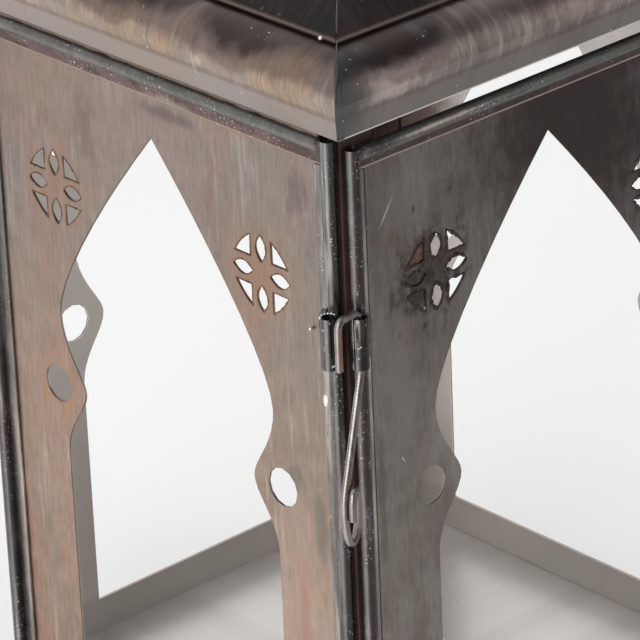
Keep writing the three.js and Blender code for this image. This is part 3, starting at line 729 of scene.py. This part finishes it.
@metal(shine=(0.34, 0.4), metallic=0.6, grain=0.03, dents=0.1)
def floor_metal(g):
    sheet = g.sheet(
        "floor", "wall", "wall_cool", "solder",
        warm_amount=0.1, cool_amount=0.15, light_amount=0.0, streak=1.0, patch=18.0, grain=0.03,
    )
    return sheet["Color"], sheet


@metal(shine=(0.18, 0.34), dents=0.1)
def wire_metal(g):
    """Bright wire with a painted highlight on its left side and painted shade on its right side, where the
    hook's short leg also has rust.
    """
    sheet = g.sheet(
        "wire", "rust", "pewter", "solder",
        warm_amount=0.15, cool_amount=0.4, light_amount=0.5, streak=0.4, patch=130.0, grain=0.4,
    )
    sides = g.group("turned_side")
    highlighted = g.film(sheet["Color"], "solder", sides["Painted Highlight"], 0.3)
    wire_shaded = g.film(highlighted, "soot", sides["Far"], 0.45)
    short_leg = (-88.4, -85.7, -59)
    # Rust on the hook's short leg, on its right side where the painted shade is.
    return g.stained(wire_shaded, [("rust", g.times(sides["Far"], 0.95), short_leg, (7, 9, 9), 0.25)]), sheet


@metal(shine=(0.18, 0.34), dents=0.1)
def knuckle_metal(g):
    colours = "pewter", "plum", "slate", "solder"
    sheet = g.sheet(*colours, streak=0.2, patch=180.0, light_amount=0.9, grain=0.7)
    sides = g.group("turned_side")
    # Painted highlight on the knuckles' left side.
    highlighted = g.film(sheet["Color"], "solder", sides["Painted Highlight"], 0.2)
    # Painted shade on their right side, in the roof colour.
    shaded = g.film(highlighted, "roof", sides["Far"], 0.92)
    slit = g.stained(shaded, [("roof", 0.95, (-82, -86.6, -57), (0.55, 0.8, 5.2), 0.05)])
    return g.film(slit, "solder", g.dust(900.0, 0.66, 0.5), 0.6), sheet


@metal(shine=(0.22, 0.4))
def solder_metal(g):
    sheet = g.sheet("pewter", "soot", "plum", "leaf", streak=0.5, patch=120.0, grain=0.5)
    return sheet["Color"], sheet


def burred(g, tint, light):
    """Rough burrs, flecked with bright metal."""
    values = {"streak": 1.0, "patch": 260.0, "warm_amount": 0.5, "light_amount": 0.3, "grain": 0.8}
    sheet = g.sheet(tint, "soot", tint, light, **values)
    return sheet["Color"], sheet


@metal(shine=(0.4, 0.6), dents=0.0)
def burr_metal(g):
    return burred(g, "burr", "brass")


@metal(shine=(0.4, 0.6), dents=0.0)
def crust_metal(g):
    return burred(g, "crust", "leaf")


@metal(shine=(0.12, 0.28), dents=0.0)
def bead_metal(g):
    sheet = g.sheet("solder", "floor", "pewter", patch=300.0)
    return sheet["Color"], sheet


# Shapes


def below_lip(x, y, down):
    """A place in mm, with its height from the cornice's lower edge."""
    return Vector((x * MM, y * MM, LIP + down * MM))


def sizes(x, y, z):
    return Vector((x, y, z)) * MM


def settle(bm, name, look, body, soften=False):
    """Makes a bmesh an object that looks like a metal and rides on a body, with softened edges if asked."""
    finish, edges, _ = settings(bpy.context)
    for vert in bm.verts:
        vert.co = [min(max(place, low), high) for place, low, high in zip(vert.co, *BOX)]
    mesh = bpy.data.meshes.new(name)
    bm.to_mesh(mesh)
    bm.free()
    mesh.materials.append(look(finish))
    mesh.shade_smooth()
    piece = bpy.data.objects.new(name, mesh)
    bpy.context.scene.collection.objects.link(piece)
    if soften:
        mesh.set_sharp_from_angle(angle=edges.angle)
        rounded = piece.modifiers.new("rounded_edges", "BEVEL")
        rounded.width = edges.sheet
        rounded.segments = edges.segments
        rounded.limit_method = "ANGLE"
        rounded.angle_limit = edges.angle
        rounded.harden_normals = True
    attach(piece, body)
    return piece


def merged_copy(node):
    bm = bmesh.new()
    bm.from_mesh(frame["nodes"][node].data)
    bmesh.ops.remove_doubles(bm, verts=bm.verts, dist=0.002 * MM)
    return bm


def dress(node, look):
    """Shows a CAD node as a copy with merged vertices, smooth rounds and softened edges."""
    bm = merged_copy(node)
    bmesh.ops.dissolve_limit(bm, angle_limit=math.radians(1), verts=bm.verts, edges=bm.edges)
    piece = settle(bm, f"finished_{node}", look, BODY_OF[node], soften=True)
    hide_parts(node)


def round_off(node, look, swell):
    """Shows a bent wire as a rounder copy, swelled first by as much as the rounding takes off."""
    bm = merged_copy(node)
    bm.normal_update()
    for vert in bm.verts:
        vert.co += vert.normal * swell
    piece = settle(bm, f"finished_{node}", look, BODY_OF[node])
    rounding = piece.modifiers.new("rounding", "SUBSURF")
    rounding.levels = rounding.render_levels = 2
    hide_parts(node)


def outline(node, steps):
    """Points and normals up the outer face of a front moulding, as (distance out, height, normal)."""
    bm = merged_copy(node)
    tree = BVHTree.FromBMesh(bm)
    bm.free()
    low, high = (corner.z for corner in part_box(node))
    margin = 0.15 * MM
    points = []
    for i in range(steps + 1):
        height = low + margin + (high - low - 2 * margin) * math.sin(math.pi / 2 * i / steps)
        place, normal, _, _ = tree.ray_cast(Vector((0, -1, height)), Vector((0, 1, 0)))
        points.append((-place.y, height, normal))
    return points


def shell(bm, rows):
    """A closed skin over a grid of (upper point, lower point) pairs."""
    upper, lower = ([[bm.verts.new(pair[layer]) for pair in row] for row in rows] for layer in (0, 1))
    last, end = len(rows) - 1, len(rows[0]) - 1
    for i in range(last):
        for j in range(end):
            bm.faces.new((upper[i][j], upper[i][j + 1], upper[i + 1][j + 1], upper[i + 1][j]))
            bm.faces.new((lower[i][j], lower[i + 1][j], lower[i + 1][j + 1], lower[i][j + 1]))
        for j in (0, end):
            bm.faces.new((upper[i][j], upper[i + 1][j], lower[i + 1][j], lower[i][j]))
    for j in range(end):
        for i in (0, last):
            bm.faces.new((upper[i][j], lower[i][j], lower[i][j + 1], upper[i][j + 1]))
    bmesh.ops.recalc_face_normals(bm, faces=bm.faces)


def turn_round(bm, corner):
    """Turns a shape about the lantern's middle, by quarter turns."""
    bmesh.ops.rotate(bm, verts=bm.verts, cent=(0, 0, 0), matrix=Matrix.Rotation(corner * math.pi / 2, 3, "Z"))


def mitre_seam(profile, corner):
    """Solder drawn down a mitre, over the seam and a strip of the side to its right."""
    heights = (-0.1, 0.12, 0.16, 0.12, 0.06, -0.1)
    rows = []
    for out, up, normal in profile:
        reach = (3.0 + 1.6 * noise.noise(Vector((corner, up * 160, 0)))) * MM
        row = []
        for j, rise in enumerate(heights):
            across = -out - 0.1 * MM + reach * j / (len(heights) - 1)
            point = Vector((across, -out, up))
            row.append((point + normal * rise * MM, point - normal * 0.3 * MM))
        rows.append(row)
    bm = bmesh.new()
    shell(bm, rows)
    turn_round(bm, corner)
    return bm


def drop(bm, place, size, taper=0.0, seed=0.0):
    """A lump of solder, narrower at its foot where it is given a taper, with a slightly uneven skin."""
    for vert in bmesh.ops.create_icosphere(bm, subdivisions=3, radius=1)["verts"]:
        unit = vert.co.copy()
        narrow = 1 + taper * (unit.z - 1) / 2
        uneven = 1 + 0.12 * noise.noise(unit * 1.7 + Vector((seed, seed, seed)))
        lump = Vector((unit.x * size.x * narrow, unit.y * size.y * narrow, unit.z * size.z))
        vert.co = place + lump * uneven


def lumps(name, look, body, slot, *drops):
    """Makes one piece of several drops."""
    bm = bmesh.new()
    for values in drops:
        drop(bm, *values)
    settle(bm, name, look, body)


def ring(bm, middle, side, other, size, count):
    """A ring of points round a middle, in the plane of two directions."""
    turns = [math.tau * i / count for i in range(count)]
    places = [middle + (side * math.cos(turn) + other * math.sin(turn)) * size for turn in turns]
    return [bm.verts.new(place) for place in places]


def join_rings(bm, rings):
    for near, far in zip(rings, rings[1:]):
        for i in range(len(near)):
            j = (i + 1) % len(near)
            bm.faces.new((near[i], near[j], far[j], far[i]))


def bead_line(bm, start, end, radius, steps, seed):
    """An uneven run of solder between two points."""
    along = end - start
    side = along.orthogonal().normalized()
    other = along.cross(side).normalized()
    rings = []
    for i in range(steps + 1):
        size = radius * (1 + 0.3 * noise.noise(Vector((seed, i * 0.45, 0))))
        rings.append(ring(bm, start + along * (i / steps), side, other, size, 8))
    join_rings(bm, rings)
    for end_ring in (rings[0], rings[-1]):
        bm.faces.new(end_ring)
    bmesh.ops.recalc_face_normals(bm, faces=bm.faces)


def rim_loops(node):
    """Closed runs of points where the outer face of a wall turns in: its outline, its arch and its holes."""
    bm = merged_copy(node)
    bm.normal_update()
    outer = {v.index for v in bm.verts if max(abs(v.co.x), abs(v.co.y)) > WALL_FACE - 0.05 * MM}
    sharp = [e for e in bm.edges if e.is_manifold and e.calc_face_angle() > math.radians(60)]
    rim = {e.index: e for e in sharp if all(v.index in outer for v in e.verts)}
    loops = []
    while rim:
        edge = rim.pop(min(rim))
        first, here = edge.verts
        run = [first.co.copy()]
        while here is not first:
            run.append(here.co.copy())
            edge = next(rim.pop(e.index) for e in here.link_edges if e.index in rim)
            here = edge.other_vert(here)
        loops.append(run)
    bm.free()
    return loops


def burr(bm, run, out, radius, uneven):
    """A rough bead drawn round a hole's rim, on the face that looks along out."""
    points = []
    for start, end in zip(run, run[1:] + run[:1]):
        count = max(1, round((end - start).length / (0.5 * MM)))
        points += [start.lerp(end, i / count) for i in range(count)]
    rings = []
    for i, here in enumerate(points):
        along = (points[(i + 1) % len(points)] - points[i - 1]).normalized()
        size = radius * (1 + uneven * noise.noise(here * 700))
        rings.append(ring(bm, here, along.cross(out), out * 0.6, size, 6))
    join_rings(bm, rings + rings[:1])
    bmesh.ops.recalc_face_normals(bm, faces=bm.faces)


# Operators


class LANTERN_OT_camera(bpy.types.Operator):
    """Place the camera at the corner that carries the latch"""

    bl_idname = "lantern.camera"
    bl_label = "Camera"

    def execute(self, context):
        view = settings(context)[2]
        right = Vector((math.cos(view.azimuth), math.sin(view.azimuth), 0))
        ahead = Vector((0, 0, 1)).cross(right)
        back = Vector((0, 0, math.sin(view.elevation))) - ahead * math.cos(view.elevation)
        turn = Matrix((right, back.cross(right), back)).transposed() @ Matrix.Rotation(view.roll, 3, "Z")
        aim = Vector((-WALL_FACE - view.outside, -WALL_FACE + view.behind, LIP - view.below_lip))
        data = bpy.data.cameras.new("lantern_camera")
        data.lens = view.lens
        data.sensor_width = 36
        data.clip_start = 0.01
        camera = bpy.data.objects.new("lantern_camera", data)
        camera.matrix_world = Matrix.Translation(aim + back * view.distance) @ turn.to_4x4()
        context.scene.collection.objects.link(camera)
        context.scene.camera = camera
        return {"FINISHED"}


class LANTERN_OT_walls(bpy.types.Operator):
    """Give the fixed walls, their top rails and the door their streaked sheet metal"""

    bl_idname = "lantern.walls"
    bl_label = "Walls and Door"

    def execute(self, context):
        for node in WALLS:
            dress(node, wall_metal)
            dress(f"{node}_top_rail", rail_metal)
        dress("door_panel", door_metal)
        return {"FINISHED"}


class LANTERN_OT_rolled_edges(bpy.types.Operator):
    """Give the stiles and the door's rails their specked pewter"""

    bl_idname = "lantern.rolled_edges"
    bl_label = "Rolled Edges"

    def execute(self, context):
        for node in STILES:
            dress(node, stile_metal)
        for node in ("door_latch_stile", "door_hinge_stile"):
            dress(node, door_stile_metal)
        dress("door_bottom_rail", door_foot_metal)
        dress("door_top_rail", door_rail_metal)
        return {"FINISHED"}


class LANTERN_OT_mouldings(bpy.types.Operator):
    """Give the cornice and the plinth their smoked, golden metal, darker on the door's side as painted shade
    """

    bl_idname = "lantern.mouldings"
    bl_label = "Cornice and Plinth"

    def execute(self, context):
        for moulding in ("cornice", "plinth"):
            for side in SIDES:
                dress(f"{moulding}_{side}", MOULDING_METALS[side])
        return {"FINISHED"}


class LANTERN_OT_roof(bpy.types.Operator):
    """Blacken the roof and the finial"""

    bl_idname = "lantern.roof"
    bl_label = "Roof and Finial"

    def execute(self, context):
        for node in (*(f"roof_{side}" for side in SIDES), "finial"):
            dress(node, roof_metal)
        round_off("finial_eye", roof_metal, 0.1 * MM)
        return {"FINISHED"}


class LANTERN_OT_frame(bpy.types.Operator):
    """Give the posts, the inner frame, the hinge lugs, the floor plate, the pan and the cup their metal"""

    bl_idname = "lantern.frame"
    bl_label = "Frame and Floor"

    def execute(self, context):
        for node in (*POSTS, "top_frame", "hinge_lug_upper", "hinge_lug_lower"):
            dress(node, frame_metal)
        for node in ("floor_plate", "drip_pan", "candle_cup"):
            dress(node, floor_metal)
        return {"FINISHED"}


class LANTERN_OT_latch(bpy.types.Operator):
    """Give the knuckles, the hook, the hinge rod and the carrying ring their worn metal, with a painted
    highlight on the left and painted shade on the right of each
    """

    bl_idname = "lantern.latch"
    bl_label = "Latch and Wires"

    def execute(self, context):
        for node in ("latch_keeper", "latch_knuckle"):
            dress(node, knuckle_metal)
        dress("hinge_rod", wire_metal)
        round_off("latch_hook", wire_metal, 0.09 * MM)
        round_off("carry_ring", wire_metal, 0.13 * MM)
        return {"FINISHED"}


class LANTERN_OT_burrs(bpy.types.Operator):
    """Draw the burrs and the crusted flux round the holes of the rosettes"""

    bl_idname = "lantern.burrs"
    bl_label = "Burrs"

    def execute(self, context):
        faces = {
            "left_panel": (-1, 0, 0),
            "back_panel": (0, 1, 0),
            "right_panel": (1, 0, 0),
            "door_panel": (0, -1, 0),
        }
        widest = 11 * MM  # wider than a rosette's holes, narrower than all others
        for node, out in faces.items():
            on_door = node == "door_panel"
            radius, uneven, look = (0.42 * MM, 1.3, crust_metal) if on_door else (0.24 * MM, 0.8, burr_metal)
            bm = bmesh.new()
            for run in rim_loops(node):
                if max((point - run[0]).length for point in run) < widest:
                    burr(bm, run, Vector(out), radius, uneven)
            settle(bm, f"{node}_burrs", look, BODY_OF[node])
        return {"FINISHED"}


class LANTERN_OT_solder(bpy.types.Operator):
    """Add the solder: seams down the mitres, runs and ends at the top rails, fillets and stray beads. The
    runs are dark, and also serve as painted shade under the cornice
    """

    bl_idname = "lantern.solder"
    bl_label = "Solder"

    def execute(self, context):
        for moulding in ("cornice", "plinth"):
            profile = outline(f"{moulding}_front", 28)
            for corner, side in enumerate(SIDES):
                bm, look = mitre_seam(profile, corner), MOULDING_METALS[side]
                settle(bm, f"{moulding}_seam_{side}", look, "lantern_body")
        self.rail_runs()
        self.rail_ends()
        self.fillets()
        self.residue()
        self.stray_beads()
        return {"FINISHED"}

    def rail_runs(self):
        """Dark runs of solder behind the top rails of the three fixed walls, in the roof colour, which also
        fill the gap under the cornice lip as painted shade.
        """
        for corner, side in ((0, "left"), (2, "right"), (3, "back")):
            bm = bmesh.new()
            bead_line(bm, below_lip(-81.3, -74, -0.7), below_lip(-81.3, 74, -0.7), 1.5 * MM, 60, corner)
            turn_round(bm, corner)
            settle(bm, f"rail_solder_{side}", roof_metal, "lantern_body")

    def rail_ends(self):
        """Solder that fills the open ends of the top rails, apart from the door's end at the hinge rod."""
        for rail in (*(f"{wall}_top_rail" for wall in WALLS), "door_top_rail"):
            low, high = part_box(rail)
            middle = (low + high) / 2
            tube = high.z - ROLL
            drops = []
            for i, end in enumerate((low,) if rail == "door_top_rail" else (low, high)):
                if high.x - low.x > high.y - low.y:
                    drops.append((Vector((end.x, middle.y, tube)), sizes(2.4, 2.2, 2.3), 0.0, 11.0 + i))
                else:
                    drops.append((Vector((middle.x, end.y, tube)), sizes(2.2, 2.4, 2.3), 0.0, 11.0 + i))
            lumps(f"{rail}_joints", solder_metal, BODY_OF[rail], SLOT_OF[rail], *drops)

    def fillets(self):
        """Fillets that hold the keeper and the knuckle to their stiles."""
        fillet = below_lip(-83.9, -75.2, -59.4), sizes(1.5, 2.6, 7.5), 0.7
        lumps("keeper_fillet", solder_metal, "lantern_body", "latch_metal", fillet)
        fillet = below_lip(-76.1, -84.2, -60.2), sizes(2.0, 1.3, 7.6), 0.5, 3.0
        lumps("knuckle_fillet", solder_metal, "door", "latch_metal", fillet)

    def residue(self):
        """Flux that clogs the left holes of the door's rosette."""
        drops = (
            (below_lip(-53.4, -79.6, -51.6), sizes(5.2, 0.35, 2.9), 0.0, 5.0),
            (below_lip(-53.6, -79.6, -59.2), sizes(5.4, 0.35, 4.0), 0.0, 6.0),
            (below_lip(-52.6, -79.6, -45.0), sizes(4.6, 0.3, 4.8), 0.0, 7.0),
        )
        lumps("door_rosette_residue", door_metal, "door", "door_metal", *drops)

    def stray_beads(self):
        """Beads on the left wall, on the eaves and round the keeper's mouth."""
        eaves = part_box("roof_left")[0]
        on_eaves = Vector((eaves.x - 0.1 * MM, eaves.x + 6 * MM, eaves.z + 0.6 * MM))
        drops = [
            (below_lip(-80.7, -66.0, -62.3), sizes(0.7, 0.6, 0.6), 0.0, 1.0),
            (below_lip(-80.7, -70.8, -83.0), sizes(0.5, 1.3, 2.2), 0.4, 2.0),
            (below_lip(-80.7, -70.8, -93.1), sizes(0.5, 0.5, 0.6), 0.0, 3.0),
            (on_eaves, sizes(0.8, 0.8, 0.7), 0.0, 9.0),
        ]
        low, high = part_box("latch_keeper")
        middle = (low + high) / 2
        reach = (high.y - low.y) / 2 - 0.2 * MM
        for i in range(7):
            turn = math.radians(150 - 25 * i)
            place = Vector((middle.x, middle.y, high.z - 0.1 * MM))
            place += Vector((math.cos(turn), math.sin(turn), 0)) * reach
            drops.append((place, sizes(0.45, 0.45, 0.32 + 0.05 * (i % 3)), 0.0, 4.0 + i))
        lumps("stray_beads", bead_metal, "lantern_body", "latch_metal", *drops)


class LANTERN_OT_stage(bpy.types.Operator):
    """Set a pale floor, a white surround and soft lamps"""

    bl_idname = "lantern.stage"
    bl_label = "Stage"

    def execute(self, context):
        view = settings(context)[2]
        self.floor(context)
        self.surround(context, view.white)
        self.lamp(context, "key_lamp", view.key, 1.1, (-1.3, -0.35, 0.75))
        self.lamp(context, "fill_lamp", view.fill, 0.9, (0.7, -1.3, 0.6))
        self.lamp(context, "top_lamp", view.top, 1.2, (-0.1, -0.1, 1.5))
        context.scene.view_settings.view_transform = "Standard"
        return {"FINISHED"}

    def lamp(self, context, name, power, size, place):
        """A square lamp that faces the middle of the lantern."""
        data = bpy.data.lights.new(name, "AREA")
        data.energy = power
        data.size = size
        lamp = bpy.data.objects.new(name, data)
        turn = (Vector(place) - Vector((0, 0, 0.2))).to_track_quat("Z", "Y").to_matrix().to_4x4()
        lamp.matrix_world = Matrix.Translation(place) @ turn
        context.scene.collection.objects.link(lamp)

    def seen(self, g, direct, mirrored, plain):
        """One shader for the camera, one for what metal mirrors and one for all other light."""
        path = g.add("ShaderNodeLightPath").outputs
        lit = g.add("ShaderNodeMixShader", {0: path["Is Glossy Ray"], 1: plain, 2: mirrored}).outputs[0]
        looked = g.larger(path["Is Camera Ray"], path["Is Transmission Ray"])
        return g.add("ShaderNodeMixShader", {0: looked, 1: lit, 2: direct}).outputs[0]

    def glow(self, g, kind, strength):
        return g.add(kind, {"Color": WHITE, "Strength": strength}).outputs[0]

    def floor(self, context):
        """A pale floor that metal mirrors bright on the left and dark on the right."""
        bm = bmesh.new()
        bmesh.ops.create_grid(bm, x_segments=1, y_segments=1, size=6)
        mesh = bpy.data.meshes.new("studio_floor")
        bm.to_mesh(mesh)
        bm.free()
        floor = bpy.data.objects.new("studio_floor", mesh)
        context.scene.collection.objects.link(floor)
        material = bpy.data.materials.new("studio_floor")
        g = cleared(material)
        x, y, _ = g.axes()
        cove = g.ramp(g.minus(g.times(y, 0.15), x), -0.5, 0.45, 0.0, 0.7)
        levels = 0.27, cove, 0.0
        lift = self.seen(g, *(self.glow(g, "ShaderNodeEmission", level) for level in levels))
        paint = g.add("ShaderNodeBsdfDiffuse", {"Color": (0.8, 0.8, 0.8)}).outputs[0]
        both = g.add("ShaderNodeAddShader", {0: paint, 1: lift}).outputs[0]
        g.add("ShaderNodeOutputMaterial", {"Surface": both})
        mesh.materials.append(material)

    def surround(self, context, white):
        """White to the camera, and to metal a cove that is bright on the left and dim on the right."""
        world = bpy.data.worlds.new("studio_surround")
        context.scene.world = world
        g = cleared(world)
        x, y, _ = g.axes(g.add("ShaderNodeTexCoord").outputs["Generated"])
        cove = g.ramp(g.minus(g.times(y, 0.6), x), -0.8, 0.9, 0.22, 0.85)
        cove = g.plus(cove, g.times(g.window(g.plus(x, y), 0.5, 1.2), 0.75))
        levels = white, cove, 0.6
        whole = self.seen(g, *(self.glow(g, "ShaderNodeBackground", level) for level in levels))
        g.add("ShaderNodeOutputWorld", {"Surface": whole})


class LANTERN_PT_sidebar(bpy.types.Panel):
    """Sizes, colours and the steps that make the lantern"""

    bl_label = "Candle Lantern"
    bl_idname = "LANTERN_PT_sidebar"
    bl_space_type = "VIEW_3D"
    bl_region_type = "UI"
    bl_category = "Lantern"

    def draw(self, context):
        for group in SETTINGS:
            box = self.layout.box()
            for name in SETTINGS[group].__annotations__:
                box.prop(getattr(context.scene, group), name)
        for step in STEPS:
            self.layout.operator(step.bl_idname)


STEPS = (
    LANTERN_OT_camera,
    LANTERN_OT_walls,
    LANTERN_OT_rolled_edges,
    LANTERN_OT_mouldings,
    LANTERN_OT_roof,
    LANTERN_OT_frame,
    LANTERN_OT_latch,
    LANTERN_OT_burrs,
    LANTERN_OT_solder,
    LANTERN_OT_stage,
)


def register():
    for group, kind in SETTINGS.items():
        bpy.utils.register_class(kind)
        setattr(bpy.types.Scene, group, PointerProperty(type=kind))
    for kind in (*STEPS, LANTERN_PT_sidebar):
        bpy.utils.register_class(kind)


def unregister():
    for kind in (LANTERN_PT_sidebar, *reversed(STEPS)):
        bpy.utils.unregister_class(kind)
    for group, kind in reversed(SETTINGS.items()):
        delattr(bpy.types.Scene, group)
        bpy.utils.unregister_class(kind)


def main():
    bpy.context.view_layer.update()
    register()
    for step in STEPS:
        getattr(bpy.ops.lantern, step.bl_idname.split(".")[1])()


if __name__ == "__main__":
    main()
